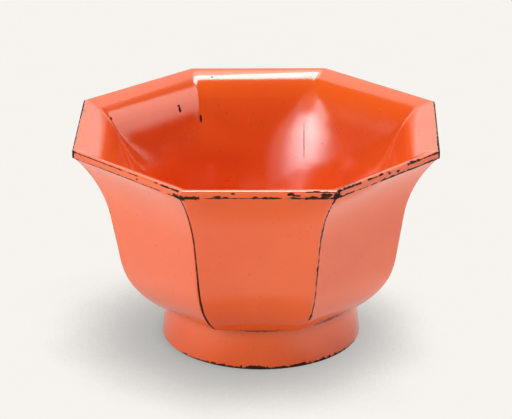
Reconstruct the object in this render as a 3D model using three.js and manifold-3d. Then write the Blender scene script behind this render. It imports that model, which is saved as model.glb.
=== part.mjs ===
// An octagonal lacquered cup.
// Eight mitred wooden staves stand on a carved octagonal base, eight mitred strips
// cap them as a rim, and a turned ring is let into the base as a foot. Hemp cloth
// lines the wood outside and inside, and coats of lacquer close it.
// Millimetres, +Z up. The origin is under the middle of the foot, on the surface
// that the cup stands on. One flat of the octagon faces -Y, the front.

import * as THREE from 'three';
import { mergeVertices } from 'three/addons/utils/BufferGeometryUtils.js';
import Module from 'manifold-3d';

const wasm = await Module();
wasm.setup();

// Finished form of the body
const cupHeight = 63.6;
const rimAcrossFlats = 101.6;
const bandHeight = 2.4;
const bandProjection = 0.25;
const lipTilt = 12;
const shoulderDrop = 7.3;
const waistAcrossFlats = 82.4;
const waistHeight = 42;
const bellyAcrossFlats = 78.4;
const bellyHeight = 29;
const undersideAcrossFlats = 56.8;
const wallThickness = 4.6;
const floorThickness = 4.7;

// Below the rim strips the inner corners fade over this height, from an octagon
// to a round bowl
const cornerFade = 15;

// Finished form of the foot
const footHeight = 11.8;
const footTopDiameter = 55.4;
const footBaseDiameter = 57.2;
const footBore = 47.6;
const footWornEdge = 0.4;

// Layers over the wood, and the gap that each glued or lacquered joint keeps
const lacquerCoat = 0.5;
const clothLayer = 0.35;
const glueLine = 0.25;

// Joints in the wood
const rimStripDepth = 6.6;
const baseRise = 7.7;
const tongueThickness = 0.9;
const tongueHeight = 1;
const tenonWidth = 2.2;
const tenonHeight = 1;
const slotClearance = 0.3;

// Faceting
const sides = 8;
const roundSides = 48;
const arcSteps = 6;

const sideNames = ['front', 'front_right', 'right', 'back_right', 'back', 'back_left', 'left', 'front_left'];
const halfSide = Math.PI / sides;
const bandBottom = cupHeight - bandHeight;
const rimSeat = cupHeight - rimStripDepth;
const baseJoint = footHeight + baseRise;
const floorHeight = footHeight + floorThickness;
const rimSkin = lacquerCoat + glueLine;
const wallSkin = rimSkin + clothLayer + glueLine;
const baseBottom = footHeight + wallSkin;

// A cutter runs this far past the face that it cuts, and a joined piece this far
// into the other
const cutPast = 5;
const root = 0.5;

// Sections are drawn in a plane through the axis: x is the distance from the axis
// to the middle of a flat, and y is the height. Every surface runs with the wood on
// its left, up the outside, over the rim and down the inside.

function point(x, y) {
  return new THREE.Vector2(x, y);
}

// An arc that leaves start along heading and passes through end, and goes on past
// end by extra of its own length
function arcFrom(start, heading, end, extra) {
  const chord = end.clone().sub(start);
  const side = point(-heading.y, heading.x);
  const radius = chord.lengthSq() / (2 * chord.dot(side));
  const centre = start.clone().addScaledVector(side, radius);
  const turn = 2 * Math.atan2(chord.dot(side), chord.dot(heading));
  const points = [];
  for (let step = 0; step <= arcSteps * (1 + extra); step += 1) {
    points.push(start.clone().rotateAround(centre, (turn * step) / arcSteps));
  }
  return points;
}

// The surface moved into the wood by a distance, with mitred corners
function inset(surface, distance) {
  const last = surface.length - 1;
  return surface.map((here, index) => {
    const arriving = surface[Math.max(index, 1)].clone().sub(surface[Math.max(index, 1) - 1]);
    const leaving = surface[Math.min(index + 1, last)].clone().sub(surface[Math.min(index, last - 1)]);
    const first = point(-arriving.y, arriving.x).normalize();
    const second = point(-leaving.y, leaving.x).normalize();
    const mitre = distance / (1 + first.dot(second));
    return here.clone().addScaledVector(first.add(second), mitre);
  });
}

// The stretch of a rising or a falling surface that lies between two heights
function between(surface, low, high) {
  const kept = [];
  surface.forEach((here, index) => {
    const before = surface[index - 1] ?? here;
    const crossed = [low, high].filter((level) => (before.y - level) * (here.y - level) < 0);
    if (before.y > here.y) {
      crossed.reverse();
    }
    for (const level of crossed) {
      kept.push(before.clone().lerp(here, (level - before.y) / (here.y - before.y)));
    }
    if (here.y >= low && here.y <= high) {
      kept.push(here);
    }
  });
  return kept;
}

// How far from the axis a surface lies at a height that it passes
function reachAt(surface, height) {
  const beyond = surface.findIndex((here, index) => {
    const before = surface[index - 1] ?? here;
    return (before.y - height) * (here.y - height) <= 0 && before.y !== here.y;
  });
  const before = surface[beyond - 1];
  const after = surface[beyond];
  return before.clone().lerp(after, (height - before.y) / (after.y - before.y)).x;
}

// The layer from one depth to another under a surface, between two heights
function layer(surface, depth, thickness, low, high) {
  const face = between(inset(surface, depth), low, high);
  const back = between(inset(surface, depth + thickness), low, high);
  return [...face, ...back.reverse()];
}

function closed(section) {
  return [...section, section[0].clone()];
}

// The finished surfaces

const waist = point(waistAcrossFlats / 2, waistHeight);
const belly = point(bellyAcrossFlats / 2, bellyHeight);
const mouth = point(rimAcrossFlats / 2 - bandProjection, bandBottom);
const wallHeading = waist.clone().sub(belly).normalize();
const intoWood = point(-wallHeading.y, wallHeading.x);

function outsideSurface() {
  const underside = point(undersideAcrossFlats / 2, footHeight);
  const bottom = arcFrom(belly, wallHeading.clone().negate(), underside, 0).reverse();
  const flare = arcFrom(waist, wallHeading, mouth, 1 / 2);
  return [point(0, footHeight), ...bottom, ...flare];
}

// The wall of the bowl, down from the rim, with an arc that ends level in its floor
function bowlWall() {
  const flare = inset(arcFrom(waist, wallHeading, mouth, 0), wallThickness).reverse();
  const innerBelly = belly.clone().addScaledVector(intoWood, wallThickness);
  const radius = (innerBelly.y - floorHeight) / (1 - intoWood.y);
  const centre = innerBelly.clone().addScaledVector(intoWood, radius);
  const turn = Math.acos(intoWood.y);
  const bend = [];
  for (let step = 0; step <= arcSteps; step += 1) {
    bend.push(innerBelly.clone().rotateAround(centre, (-turn * step) / arcSteps));
  }
  return [...flare, ...bend, point(0, floorHeight)];
}

// The crowned lip, from the outer edge of the rim to its shoulder on the bowl's wall
function lipSurface(wall) {
  const edge = point(rimAcrossFlats / 2, cupHeight);
  const shoulderHeight = cupHeight - shoulderDrop;
  const below = wall.findIndex((place) => place.y < shoulderHeight);
  const slope = wall[below].clone().sub(wall[below - 1]).normalize();
  const shoulder = point(reachAt(wall, shoulderHeight), shoulderHeight);
  const tilt = THREE.MathUtils.degToRad(180 + lipTilt);
  const inward = point(Math.cos(tilt), Math.sin(tilt));
  const reach = shoulder.clone().sub(edge).cross(slope) / inward.cross(slope);
  const crown = edge.clone().addScaledVector(inward, reach);
  return new THREE.QuadraticBezierCurve(edge, crown, shoulder).getPoints(arcSteps);
}

function insideSurface() {
  const wall = bowlWall();
  const lip = lipSurface(wall);
  return [...lip, ...wall.filter((place) => place.y < lip.at(-1).y - glueLine)];
}

const outside = outsideSurface();
const inside = insideSurface();
const rimFace = [point(rimAcrossFlats / 2, bandBottom), ...inside];
const woodOutside = inset(outside, wallSkin);
const woodInside = inset(inside, wallSkin);

// Solids

function solid(geometry) {
  geometry.deleteAttribute('normal');
  geometry.deleteAttribute('uv');
  const merged = mergeVertices(geometry, 1e-5);
  const corners = merged.index.array;
  const triangles = [];
  for (let index = 0; index < corners.length; index += 3) {
    const [one, two, three] = corners.slice(index, index + 3);
    if (one !== two && two !== three && three !== one) {
      triangles.push(one, two, three);
    }
  }
  const vertProperties = merged.attributes.position.array;
  const triVerts = new Uint32Array(triangles);
  return new wasm.Manifold(new wasm.Mesh({ numProp: 3, vertProperties, triVerts }));
}

// The last column of a turned form takes the very places of its first, so that the
// two merge
function turned(section, segments) {
  const geometry = new THREE.LatheGeometry(section, segments, halfSide);
  const places = geometry.attributes.position.array;
  places.copyWithin(segments * section.length * 3, 0, section.length * 3);
  return geometry.rotateX(Math.PI / 2);
}

function octagonal(section) {
  const toCorner = 1 / Math.cos(halfSide);
  return solid(turned(section.map((place) => point(place.x * toCorner, place.y)), sides));
}

function round(section) {
  return solid(turned(section, roundSides));
}

// A turned bowl whose upper part is pushed out into the corners of the octagon
function bowl(section) {
  const geometry = turned(section, roundSides);
  const places = geometry.attributes.position;
  const spot = new THREE.Vector3();
  for (let index = 0; index < places.count; index += 1) {
    spot.fromBufferAttribute(places, index);
    const cornering = THREE.MathUtils.smoothstep(spot.z, rimSeat - cornerFade, rimSeat);
    const side = Math.atan2(spot.x, -spot.y) / (2 * halfSide);
    const fromMiddle = (side - Math.round(side)) * 2 * halfSide;
    const push = 1 + cornering * (1 / Math.cos(fromMiddle) - 1);
    places.setXY(index, spot.x * push, spot.y * push);
  }
  return solid(geometry);
}

// What would fill the bowl to a height, and reach a depth under its surface
function bowlFilling(depth, height) {
  const surface = between(inset(inside, depth), 0, height);
  return bowl([point(0, surface[0].y), ...surface].reverse());
}

// A square-cornered ring between two distances from the axis and two heights
function ringSection(inner, outer, low, high) {
  return closed([point(inner, low), point(outer, low), point(outer, high), point(inner, high)]);
}

function disc(radius, low, high) {
  return round([point(0, low), point(radius, low), point(radius, high), point(0, high)]);
}

// One eighth of the cup about the front flat, short of each mitre by half a glue line
function eighth() {
  const tip = glueLine / 2 / Math.sin(halfSide);
  const spread = (rimAcrossFlats - tip) * Math.tan(halfSide);
  const corners = [point(0, -tip), point(-spread, -rimAcrossFlats), point(spread, -rimAcrossFlats)];
  const depth = cupHeight + cutPast;
  return solid(new THREE.ExtrudeGeometry(new THREE.Shape(corners), { depth, bevelEnabled: false }));
}

// Wooden core

// The middle of the wood's thickness at a height, where tongues and slots lie
function middleOfWood(height) {
  return (reachAt(woodOutside, height) + reachAt(woodInside, height)) / 2;
}

function tongue(middle, shoulder) {
  const half = tongueThickness / 2;
  return octagonal(ringSection(middle - half, middle + half, shoulder - root, shoulder + tongueHeight));
}

function tongueSlot(middle, shoulder) {
  const half = tongueThickness / 2 + slotClearance;
  const end = shoulder + tongueHeight + slotClearance;
  return octagonal(ringSection(middle - half, middle + half, shoulder - cutPast, end));
}

// The wood of the body between two heights, with the bowl hollowed out of it
function bodyWood(low, high) {
  const blank = octagonal([point(0, low), ...between(woodOutside, low, high), point(0, high)]);
  return blank.subtract(bowlFilling(wallSkin, rimSeat + root));
}

const baseTongueMiddle = middleOfWood(baseJoint + tongueHeight);
const rimTongueMiddle = middleOfWood(rimSeat);
const tenonMiddle = (footBore + footTopDiameter) / 4 - rimSkin / 2;

function baseBlock() {
  const half = tenonWidth / 2 + slotClearance;
  const end = baseBottom + tenonHeight + slotClearance;
  const mortise = round(ringSection(tenonMiddle - half, tenonMiddle + half, baseBottom - cutPast, end));
  return bodyWood(baseBottom, baseJoint).add(tongue(baseTongueMiddle, baseJoint)).subtract(mortise);
}

function wallStave() {
  const foot = baseJoint + glueLine;
  const head = rimSeat - glueLine;
  return bodyWood(foot, head)
    .add(tongue(rimTongueMiddle, head))
    .subtract(tongueSlot(baseTongueMiddle, baseJoint))
    .intersect(eighth());
}

function rimStrip() {
  const flank = between(woodOutside, rimSeat, bandBottom);
  const over = between(inset(rimFace, rimSkin), rimSeat, cupHeight);
  return octagonal(closed([...flank, ...over]))
    .subtract(tongueSlot(rimTongueMiddle, rimSeat - glueLine))
    .intersect(eighth());
}

// The ring stands on its own bare edge, and a tenon round its top enters the base
function footRing() {
  const bore = footBore / 2;
  const edge = footBaseDiameter / 2;
  const top = baseBottom - glueLine;
  const half = tenonWidth / 2;
  return round(closed([
    point(bore, 0),
    point(edge, 0),
    point(edge, footWornEdge),
    point(edge - rimSkin, footWornEdge),
    point(footTopDiameter / 2 - rimSkin, footHeight),
    point(footTopDiameter / 2 - rimSkin, top),
    point(tenonMiddle + half, top),
    point(tenonMiddle + half, baseBottom + tenonHeight),
    point(tenonMiddle - half, baseBottom + tenonHeight),
    point(tenonMiddle - half, top),
    point(bore, top),
  ]));
}

// Cloth and lacquer

// A layer over the whole outside of the body, with a round way through for the foot
function outerLayer(depth, thickness) {
  const shell = octagonal(layer(outside, depth, thickness, 0, bandBottom - glueLine));
  const footPassage = footTopDiameter / 2 - rimSkin + glueLine;
  return shell.subtract(disc(footPassage, footHeight - cutPast, baseBottom + cutPast));
}

// A layer over the inside, up to the rim strips
function bowlLayer(depth, thickness) {
  const top = rimSeat - glueLine;
  return bowlFilling(depth + thickness, top).subtract(bowlFilling(depth, top + root));
}

function rimLacquer() {
  return octagonal(closed(layer(rimFace, 0, lacquerCoat, rimSeat, cupHeight)));
}

function footLacquer() {
  const low = footWornEdge + glueLine;
  const high = footHeight - glueLine;
  const flare = (footBaseDiameter - footTopDiameter) / 2 / footHeight;
  const lowReach = footBaseDiameter / 2 - flare * low;
  const highReach = footBaseDiameter / 2 - flare * high;
  return round(closed([
    point(lowReach - lacquerCoat, low),
    point(lowReach, low),
    point(highReach, high),
    point(highReach - lacquerCoat, high),
  ]));
}

function undersideLacquer() {
  const top = baseBottom - glueLine;
  return disc(footBore / 2 - glueLine, top - lacquerCoat, top);
}

// Assembly

const wood = { color: 0xb98d5c, roughness: 0.8, metalness: 0 };
const hempCloth = { color: 0x6b5138, roughness: 0.95, metalness: 0 };
const redLacquer = { color: 0xd9552e, roughness: 0.25, metalness: 0 };
const blackLacquer = { color: 0x1d1613, roughness: 0.35, metalness: 0 };

function piece(name, shape, finish) {
  const drawn = shape.getMesh();
  const geometry = new THREE.BufferGeometry();
  geometry.setAttribute('position', new THREE.BufferAttribute(drawn.vertProperties, 3));
  geometry.setIndex(new THREE.BufferAttribute(drawn.triVerts, 1));
  geometry.computeVertexNormals();
  const mesh = new THREE.Mesh(geometry, new THREE.MeshStandardMaterial(finish));
  mesh.name = name;
  return mesh;
}

function woodenCore() {
  const core = new THREE.Group();
  core.add(piece('base_block', baseBlock(), wood));
  core.add(piece('foot_ring', footRing(), blackLacquer));
  const stave = wallStave();
  const strip = rimStrip();
  sideNames.forEach((name, index) => {
    const side = new THREE.Group();
    side.rotation.z = 2 * halfSide * index;
    side.add(piece(`wall_stave_${name}`, stave, wood));
    side.add(piece(`rim_strip_${name}`, strip, wood));
    core.add(side);
  });
  return core;
}

function coverings() {
  const covers = new THREE.Group();
  const clothDepth = lacquerCoat + glueLine;
  covers.add(piece('outer_cloth', outerLayer(clothDepth, clothLayer), hempCloth));
  covers.add(piece('inner_cloth', bowlLayer(clothDepth, clothLayer), hempCloth));
  covers.add(piece('outer_lacquer', outerLayer(0, lacquerCoat), redLacquer));
  covers.add(piece('inner_lacquer', bowlLayer(0, lacquerCoat), redLacquer));
  covers.add(piece('rim_lacquer', rimLacquer(), redLacquer));
  covers.add(piece('foot_lacquer', footLacquer(), redLacquer));
  covers.add(piece('underside_lacquer', undersideLacquer(), blackLacquer));
  return covers;
}

const cup = new THREE.Group();
cup.add(woodenCore(), coverings());
export default cup;
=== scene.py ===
# %% [markdown]
# # An octagonal lacquer cup
#
# The cup is a wooden core of eight staves on a carved base, wrapped in hemp cloth
# and closed with coats of lacquer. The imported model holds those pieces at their
# real size, with faceted coats. This lesson models the coats again, with rounded
# arrises and a hand-polished surface, and makes the materials of every piece.
#
# Everything is in metres, with +Z up and one flat of the octagon facing -Y.

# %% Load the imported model
import math

import bmesh
import bpy
from mathutils import Matrix, Vector


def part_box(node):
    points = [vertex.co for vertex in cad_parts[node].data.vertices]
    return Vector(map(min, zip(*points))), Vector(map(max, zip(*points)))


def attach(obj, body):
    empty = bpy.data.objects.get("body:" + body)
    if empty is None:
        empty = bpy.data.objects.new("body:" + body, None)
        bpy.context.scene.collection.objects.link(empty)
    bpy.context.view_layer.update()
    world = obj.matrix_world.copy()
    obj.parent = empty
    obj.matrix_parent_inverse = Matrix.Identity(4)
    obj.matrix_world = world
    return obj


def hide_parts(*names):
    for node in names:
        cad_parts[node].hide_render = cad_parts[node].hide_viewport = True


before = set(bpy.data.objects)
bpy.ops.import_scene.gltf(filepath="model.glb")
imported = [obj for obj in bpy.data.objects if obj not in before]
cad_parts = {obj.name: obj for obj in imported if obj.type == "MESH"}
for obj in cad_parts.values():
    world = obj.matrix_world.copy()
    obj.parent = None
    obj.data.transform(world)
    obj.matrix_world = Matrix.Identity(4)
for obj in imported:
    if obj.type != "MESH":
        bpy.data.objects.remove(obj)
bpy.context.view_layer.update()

scene = bpy.context.scene
scene.view_settings.view_transform = "Standard"
MM = 0.001

# %% [markdown]
# ## The camera
#
# The photograph was taken with a long lens from about 25 degrees above the table.
# A camera could be set by eye. This one was worked out from the eight corners of
# the rim and the outline of the foot, so the render can be laid over the photograph.

# %% The camera
CAMERA_DISTANCE = 746.4 * MM
CAMERA_ELEVATION = math.radians(24.68)
CAMERA_AZIMUTH = math.radians(0.2)
AIM = Vector((-0.65 * MM, 0, 37.4 * MM))
LENS = 178.0
NEAREST = 10 * MM


def direction(azimuth, elevation):
    """The way to an azimuth, counted from the front towards the right, and an elevation."""
    level = math.cos(elevation)
    return Vector((level * math.sin(azimuth), -level * math.cos(azimuth), math.sin(elevation)))


def make_camera():
    camera = bpy.data.objects.new("camera", bpy.data.cameras.new("camera"))
    camera.data.lens = LENS
    camera.data.clip_start = NEAREST
    camera.location = direction(CAMERA_AZIMUTH, CAMERA_ELEVATION) * CAMERA_DISTANCE
    camera.rotation_euler = (AIM - camera.location).to_track_quat("-Z", "Y").to_euler()
    scene.collection.objects.link(camera)
    scene.camera = camera
    return camera


camera = make_camera()
print("camera", [round(v, 3) for v in camera.location], "lens", LENS)

# %% [markdown]
# ## Shader helpers
#
# The finish of lacquer is drawn by shader nodes. They could be placed by hand in the
# editor, but this cup's materials need hundreds of them. A few helpers write them
# instead. They add a node and set or link its inputs, do a sum, make a soft step or
# a noise, mix two colours, or look up an amount.

# %% Shader helpers


def give(tree, socket, value):
    """Links the socket to a value that comes from a node, or else sets it."""
    if isinstance(value, bpy.types.NodeSocket):
        tree.links.new(value, socket)
    else:
        socket.default_value = value


def add_node(tree, kind, inputs=None, **settings):
    node = tree.nodes.new(kind)
    for name, value in settings.items():
        setattr(node, name, value)
    for name, value in (inputs or {}).items():
        give(tree, node.inputs[name], value)
    return node


def calc(tree, operation, first, second=0.0, third=0.0):
    inputs = {0: first, 1: second, 2: third}
    return add_node(tree, "ShaderNodeMath", inputs, operation=operation).outputs[0]


def vector_calc(tree, operation, first, second=(0, 0, 0), output="Vector"):
    inputs = {0: first, 1: second}
    return add_node(tree, "ShaderNodeVectorMath", inputs, operation=operation).outputs[output]


def ramp(tree, value, low, high):
    """0 at low and 1 at high, smooth between them; low may be above high."""
    inputs = {"Value": value, "From Min": low, "From Max": high}
    return add_node(tree, "ShaderNodeMapRange", inputs, interpolation_type="SMOOTHSTEP").outputs["Result"]


def noise(tree, vector, scale, detail, roughness):
    inputs = {"Vector": vector, "Scale": scale, "Detail": detail, "Roughness": roughness}
    return add_node(tree, "ShaderNodeTexNoise", inputs).outputs["Fac"]


def blend_colour(tree, share, first, second):
    node = add_node(tree, "ShaderNodeMix", data_type="RGBA")
    sockets = {socket.identifier: socket for socket in node.inputs}
    for label, value in (("Factor_Float", share), ("A_Color", first), ("B_Color", second)):
        give(tree, sockets[label], value)
    return next(socket for socket in node.outputs if socket.identifier == "Result_Color")


def strongest(tree, *masks):
    """The largest of two or more masks."""
    largest = masks[0]
    for mask in masks[1:]:
        largest = calc(tree, "MAXIMUM", largest, mask)
    return largest


print("helpers: give, add_node, calc, vector_calc, ramp, noise, blend_colour, strongest")

# %% An amount that changes along the way


def ramp_share(tree, value, low, high):
    """0 at low and 1 at high, straight between them and past them."""
    return calc(tree, "MULTIPLY", calc(tree, "SUBTRACT", value, low), 1 / (high - low))


def amount_over(tree, value, stops, held=False):
    """The amount that belongs to a value, from stops of (value, amount). The amount
    runs straight from stop to stop, or holds until the next one."""
    start = stops[0][0]
    end = stops[-1][0]
    lowest = min(amount for _, amount in stops)
    span = max(amount for _, amount in stops) - lowest
    node = add_node(tree, "ShaderNodeValToRGB", {"Fac": ramp_share(tree, value, start, end)})
    node.color_ramp.interpolation = "CONSTANT" if held else "LINEAR"
    elements = node.color_ramp.elements
    while len(elements) < len(stops):
        elements.new(1.0)
    for element, (place, amount) in zip(elements, stops):
        element.position = (place - start) / (end - start)
        grey = (amount - lowest) / span
        element.color = (grey, grey, grey, 1.0)
    return calc(tree, "MULTIPLY_ADD", node.outputs["Color"], span, lowest)


print("helpers: ramp_share, amount_over")

# %% [markdown]
# ## Shader node groups
#
# Wear and polish work in the same way on every coat of the cup. Their nodes could be
# copied into each material. A shader node group holds them once, under a name, with
# sockets for what differs from coat to coat.

# %% Shader node groups
FLOAT = "NodeSocketFloat"
VECTOR = "NodeSocketVector"


def new_group(name, inputs, outputs):
    """An empty shader node group; inputs and outputs are {name: socket type}."""
    group = bpy.data.node_groups.new(name, "ShaderNodeTree")
    for label, kind in inputs.items():
        group.interface.new_socket(label, in_out="INPUT", socket_type=kind)
    for label, kind in outputs.items():
        group.interface.new_socket(label, in_out="OUTPUT", socket_type=kind)
    entry = group.nodes.new("NodeGroupInput")
    leave = group.nodes.new("NodeGroupOutput")
    return group, entry.outputs, leave.inputs


def use_group(tree, group, inputs):
    return add_node(tree, "ShaderNodeGroup", inputs, node_tree=group).outputs


print("helpers: new_group, use_group")

# %% [markdown]
# ## Where the arrises are
#
# Wear on this cup follows its arrises, the eight upright edges between the flats,
# and the edges of its rim. A painted mask would need an image. The distance to the
# nearest arris can be worked out instead from the place of each point, because the
# arrises lie in eight planes through the axis.

# %% The distance to the nearest arris
SIDES = 8
HALF_SIDE = math.pi / SIDES


def arris_group():
    """Distance is to the nearest arris, Turn is the angle from the front, and Reach is
    how far out a point lies, square to its flat."""
    group, given, result = new_group("arris_finder", {"Position": VECTOR},
                                     {"Distance": FLOAT, "Turn": FLOAT, "Height": FLOAT, "Reach": FLOAT})
    place = add_node(group, "ShaderNodeSeparateXYZ", {"Vector": given["Position"]}).outputs
    toward_front = calc(group, "MULTIPLY", place["Y"], -1.0)
    turn = calc(group, "ARCTAN2", place["X"], toward_front)
    local = calc(group, "WRAP", turn, HALF_SIDE, -HALF_SIDE)
    to_plane = calc(group, "SUBTRACT", HALF_SIDE, calc(group, "ABSOLUTE", local))
    squares = [calc(group, "POWER", place[axis], 2.0) for axis in "XY"]
    radius = calc(group, "SQRT", calc(group, "ADD", *squares))
    links = group.links
    links.new(calc(group, "MULTIPLY", radius, calc(group, "SINE", to_plane)), result["Distance"])
    links.new(turn, result["Turn"])
    links.new(place["Z"], result["Height"])
    links.new(calc(group, "MULTIPLY", radius, calc(group, "COSINE", local)), result["Reach"])
    return group


arris_finder = arris_group()
print("group", arris_finder.name)

# %% [markdown]
# ## A worn line
#
# Where an edge of the cup is rubbed, the red coat goes and the black ground under it
# shows. The line is dark, thin and broken, with ragged sides. It could be painted on
# an image, but that image would have to be very large to hold a line of a quarter of
# a millimetre. This group draws it from the distance to an edge, a half width, how
# ragged it is and how much of it is left.
# It also draws a line of painted shade, in the corner above the foot.

# %% A worn line
# Each noise is given by its scale, detail and roughness.
RAGGED_NOISE = (700.0, 3.0, 0.6)
RAGGED_SWING = 2.6
# The sides fade between these shares of the half width.
LINE_FADE = (1.25, 0.75)
# A line has a gap where this noise is below the gap level, which is higher the less of
# the line is kept.
GAP_NOISE = (230.0, 2.0, 0.6)
GAP_LEVEL = 0.22
GAP_RISE = 0.5
GAP_FADE = 0.06
THINNEST = 0.001 * MM


def worn_line_group():
    group, given, result = new_group(
        "wear_and_shade_line",
        {"Position": VECTOR, "Distance": FLOAT, "Half Width": FLOAT, "Ragged": FLOAT, "Kept": FLOAT},
        {"Mask": FLOAT})
    rough = noise(group, given["Position"], *RAGGED_NOISE)
    swing = calc(group, "MULTIPLY", calc(group, "SUBTRACT", rough, 0.5), given["Ragged"])
    growth = calc(group, "ADD", 1.0, calc(group, "MULTIPLY", swing, RAGGED_SWING))
    width = calc(group, "MULTIPLY", given["Half Width"], growth)
    share = calc(group, "DIVIDE", given["Distance"], calc(group, "MAXIMUM", width, THINNEST))
    line = ramp(group, share, *LINE_FADE)
    patchy = noise(group, given["Position"], *GAP_NOISE)
    lost = calc(group, "SUBTRACT", 1.0, given["Kept"])
    gap_level = calc(group, "MULTIPLY_ADD", lost, GAP_RISE, GAP_LEVEL)
    here = ramp(group, calc(group, "SUBTRACT", patchy, gap_level), 0.0, GAP_FADE)
    group.links.new(calc(group, "MULTIPLY", line, here), result["Mask"])
    return group


wear_and_shade_line = worn_line_group()
print("group", wear_and_shade_line.name)

# %% [markdown]
# ## Chipped patches
#
# At some corners the lacquer is gone over a few millimetres, with ragged sides and
# islands left in it, and small chips are scattered over the rest. They could be cut
# into the mesh, but a coat is so thin that it is the colour and the lost shine that
# show a chip. Each patch here is a soft ball about a place, cut by noise.

# %% Chipped patches
CHIP_NOISE = (900.0, 4.0, 0.65)
# A patch fades between these shares of its size.
CHIP_FADE = (1.12, 0.88)


def chip_group():
    group, given, result = new_group(
        "chipped_patch",
        {"Position": VECTOR, "Centre": VECTOR, "Size": VECTOR, "Bite": FLOAT, "Rough": FLOAT},
        {"Mask": FLOAT})
    away = vector_calc(group, "SUBTRACT", given["Position"], given["Centre"])
    scaled = vector_calc(group, "DIVIDE", away, given["Size"])
    length = vector_calc(group, "LENGTH", scaled, output="Value")
    swing = calc(group, "MULTIPLY", calc(group, "SUBTRACT", given["Rough"], 0.5), given["Bite"])
    group.links.new(ramp(group, calc(group, "ADD", length, swing), *CHIP_FADE), result["Mask"])
    return group


chipped_patch = chip_group()
print("group", chipped_patch.name)


def chips_at(tree, position, patches, mask=0.0):
    """Adds patches of (place, size, bite) to a mask, places and sizes in millimetres."""
    rough = noise(tree, position, *CHIP_NOISE)
    for place, size, bite in patches:
        inputs = {"Position": position, "Centre": [v * MM for v in place],
                  "Size": [v * MM for v in size], "Bite": bite, "Rough": rough}
        mask = strongest(tree, mask, use_group(tree, chipped_patch, inputs)["Mask"])
    return mask


# %% [markdown]
# ## Hand polish
#
# Lacquer is laid with a brush and rubbed down by hand. Its surface is smooth to the
# touch but never flat, so reflections waver. A mesh would need far too many faces for
# waves as low as these. The group gives a height for a Bump node instead, and small
# swings of tone and of rubbing.

# %% Hand polish
BROAD_WAVES = (45.0, 1.0, 0.4)
FINE_WAVES = (260.0, 2.0, 0.5)
FINE_SHARE = 0.35
TONE_NOISE = (26.0, 3.0, 0.55)
RUBBING_NOISE = (120.0, 4.0, 0.6)


def polish_group():
    group, given, result = new_group("hand_polish", {"Position": VECTOR},
                                     {"Height": FLOAT, "Tone": FLOAT, "Rubbing": FLOAT})
    broad = noise(group, given["Position"], *BROAD_WAVES)
    fine = noise(group, given["Position"], *FINE_WAVES)
    links = group.links
    links.new(calc(group, "MULTIPLY_ADD", fine, FINE_SHARE, broad), result["Height"])
    links.new(noise(group, given["Position"], *TONE_NOISE), result["Tone"])
    links.new(noise(group, given["Position"], *RUBBING_NOISE), result["Rubbing"])
    return group


hand_polish = polish_group()
print("group", hand_polish.name)

# %% [markdown]
# ## Red lacquer
#
# The red is vermilion in clear lacquer, over a black ground. The clear film on top is
# what shines, so it is the shader's coat, and the colour below it is dull. One red
# material could serve the whole cup, but each coat is worn in its own places. So each
# has its own, made by one function from a mask of what is rubbed away, which on the
# outside and the foot also holds painted shade. There the red turns to the ground's
# brown black, the clear film is gone and the surface sinks a little.

# %% Starting a material


def start_material(name):
    """A new material, with its node tree, its shader and the place of each point."""
    material = bpy.data.materials.new(name)
    material.use_nodes = True
    tree = material.node_tree
    position = add_node(tree, "ShaderNodeTexCoord").outputs["Object"]
    return material, tree, tree.nodes["Principled BSDF"], position


def bump_surface(tree, shader, height, strength, distance):
    bump = add_node(tree, "ShaderNodeBump", {"Height": height, "Strength": strength, "Distance": distance})
    tree.links.new(bump.outputs["Normal"], shader.inputs["Normal"])
    return bump.outputs["Normal"]


print("helpers: start_material, bump_surface")

# %% Red lacquer
VERMILION = (0.91, 0.116, 0.009, 1.0)
VERMILION_DEEP = (0.87, 0.100, 0.008, 1.0)
GROUND = (0.034, 0.017, 0.012, 1.0)
GROUND_EDGE = (0.20, 0.028, 0.010, 1.0)
# The colour lies thick below the first value of the tone and thin above the second.
TONE_FADE = (0.36, 0.64)
# Dark specks: their noise, the values between which they begin, and how dark they are.
SPECK_NOISE = (1500.0, 1.0, 0.5)
SPECK_FADE = (0.755, 0.79)
SPECK_WEAR = 0.35
# The wear over which the red thins, the ground shows and the clear film goes.
THIN_FADE = (0.0, 0.4)
GROUND_FADE = (0.35, 0.75)
FILM_FADE = (0.7, 0.2)
DULLNESS = 0.4
DULL_SWING = 0.3
BODY_SHINE = 0.05
FILM_ROUGHNESS = 0.13
FILM_IOR = 1.85
SINK = -0.35
WAVE_STRENGTH = 0.35
WAVE_HEIGHT = 0.25 * MM


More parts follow.
